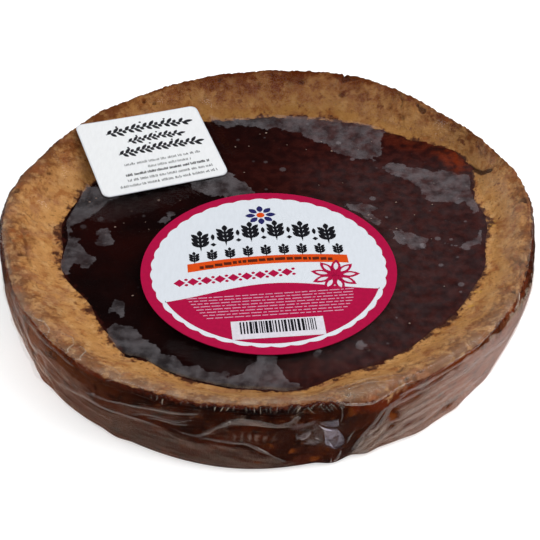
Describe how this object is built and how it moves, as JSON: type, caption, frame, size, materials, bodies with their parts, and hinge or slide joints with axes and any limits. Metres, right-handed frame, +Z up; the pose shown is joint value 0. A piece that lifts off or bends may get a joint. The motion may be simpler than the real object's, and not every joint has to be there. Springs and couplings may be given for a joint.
{
  "type": "film-wrapped butter cake",
  "caption": "Round flat butter cake with a raised golden rim and a disc of dark jam, tightly wrapped in clear film with a round and a rectangular sticker.",
  "frame": {"origin": "centre of the flat base on the table", "axes": "+Z up through the cake, -Y towards the front where the round sticker lies, +X to the right of that front"},
  "size_m": [0.1833, 0.1814, 0.0305],
  "materials": {
    "crust": "baked butter crust, golden to dark brown, slightly greasy",
    "jam": "dark cooked jam, glossy",
    "film": "clear glossy wrapping film with creases",
    "round_paper": "coated paper, raspberry, white and orange fields",
    "white_paper": "coated white paper with dark pen strokes"
  },
  "bodies": {
    "root": {"cake": "crust", "jam": "jam", "wrap": "film", "label_round": "round_paper", "label_rect": "white_paper"}
  },
  "joints": []
}
